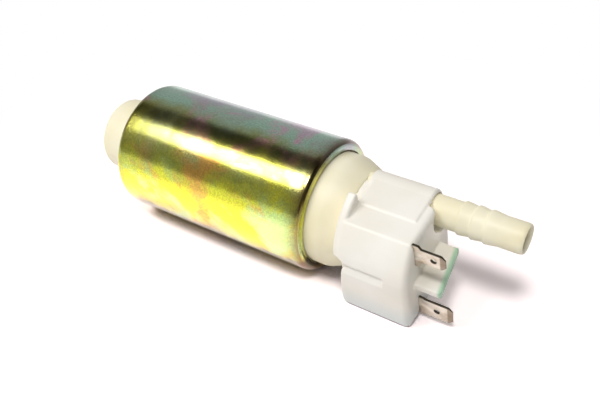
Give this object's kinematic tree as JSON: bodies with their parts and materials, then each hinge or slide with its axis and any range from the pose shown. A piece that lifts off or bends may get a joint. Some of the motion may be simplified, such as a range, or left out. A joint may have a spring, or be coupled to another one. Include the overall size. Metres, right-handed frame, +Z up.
{
  "type": "fuel pump",
  "caption": "In-tank electric fuel pump: rolled steel can, barbed outlet tube, housing with two flat blade terminals, and a round inlet boss.",
  "frame": {"origin": "on the can's axis, halfway along the can", "axes": "+X along the can towards the outlet tube, +Z up with the pump lying on the can and the lower outer edge of the terminal housing, terminals on the -Y side"},
  "size_m": [0.1349, 0.039, 0.039],
  "materials": {
    "zinc_steel": "glossy yellow zinc plating with a faint rainbow",
    "ivory_acetal": "smooth moulded acetal, slightly glossy",
    "white_acetal": "smooth moulded acetal, slightly glossy",
    "tinned_brass": "dull tin plating",
    "aluminium": "die cast",
    "impeller_resin": "moulded phenolic",
    "ground_steel": "ground",
    "lamination_steel": "stacked sheet, varnished",
    "copper_wire": "enamelled",
    "copper": "turned",
    "sintered_bronze": "sintered",
    "plated_steel": "zinc plated",
    "ferrite": "ground ferrite",
    "spring_steel": "drawn wire",
    "holder_resin": "moulded",
    "carbon": "pressed carbon",
    "fibre": "hard fibre",
    "red_rubber": "moulded",
    "black_rubber": "moulded"
  },
  "bodies": {
    "pump": {"can": "zinc_steel", "outlet_cap": "ivory_acetal", "terminal_housing": "white_acetal", "terminal_positive": "tinned_brass", "terminal_negative": "tinned_brass", "inlet_cover": "ivory_acetal", "pump_body": "aluminium", "upper_bearing": "sintered_bronze", "lower_bearing": "sintered_bronze", "thrust_ball": "ground_steel", "flux_ring": "plated_steel", "magnet_front": "ferrite", "magnet_back": "ferrite", "magnet_clip_top": "spring_steel", "magnet_clip_bottom": "spring_steel", "brush_holder": "holder_resin", "brush_spring_positive": "spring_steel", "brush_spring_negative": "spring_steel", "choke_positive": "copper_wire", "choke_negative": "copper_wire", "check_valve_spring": "spring_steel", "check_valve_retainer": "ivory_acetal", "relief_valve_spring": "spring_steel", "relief_valve_plug": "sintered_bronze", "outlet_seal": "black_rubber", "inlet_seal": "black_rubber"},
    "rotor": {"shaft": "ground_steel", "armature_core": "lamination_steel", "armature_winding": "copper_wire", "commutator": "copper", "impeller": "impeller_resin", "upper_washer": "fibre", "lower_washer": "fibre"},
    "check_valve": {"check_valve_poppet": "red_rubber"},
    "relief_valve": {"relief_valve_ball": "ground_steel"},
    "brush_positive": {"brush_positive": "carbon"},
    "brush_negative": {"brush_negative": "carbon"}
  },
  "joints": [
    {"name": "rotor_spin", "type": "hinge", "parent": "pump", "child": "rotor", "pos_m": [0, 0, 0], "axis": [1, 0, 0], "continuous": true},
    {"name": "check_valve_slide", "type": "slide", "parent": "pump", "child": "check_valve", "axis": [1, 0, 0], "range_m": [0, 0.0015], "stiffness_N_per_m": 60, "springref_m": -0.002, "deforming": ["check_valve_spring"]},
    {"name": "relief_valve_slide", "type": "slide", "parent": "pump", "child": "relief_valve", "axis": [1, 0, 0], "range_m": [0, 0.001], "stiffness_N_per_m": 200, "springref_m": -0.002, "deforming": ["relief_valve_spring"]},
    {"name": "brush_positive_slide", "type": "slide", "parent": "pump", "child": "brush_positive", "axis": [0, -0.2712, 0.9625], "range_m": [0, 0.001], "stiffness_N_per_m": 200, "springref_m": -0.002, "deforming": ["brush_spring_positive"]},
    {"name": "brush_negative_slide", "type": "slide", "parent": "pump", "child": "brush_negative", "axis": [0, 0.2712, -0.9625], "range_m": [0, 0.001], "stiffness_N_per_m": 200, "springref_m": -0.002, "deforming": ["brush_spring_negative"]}
  ]
}
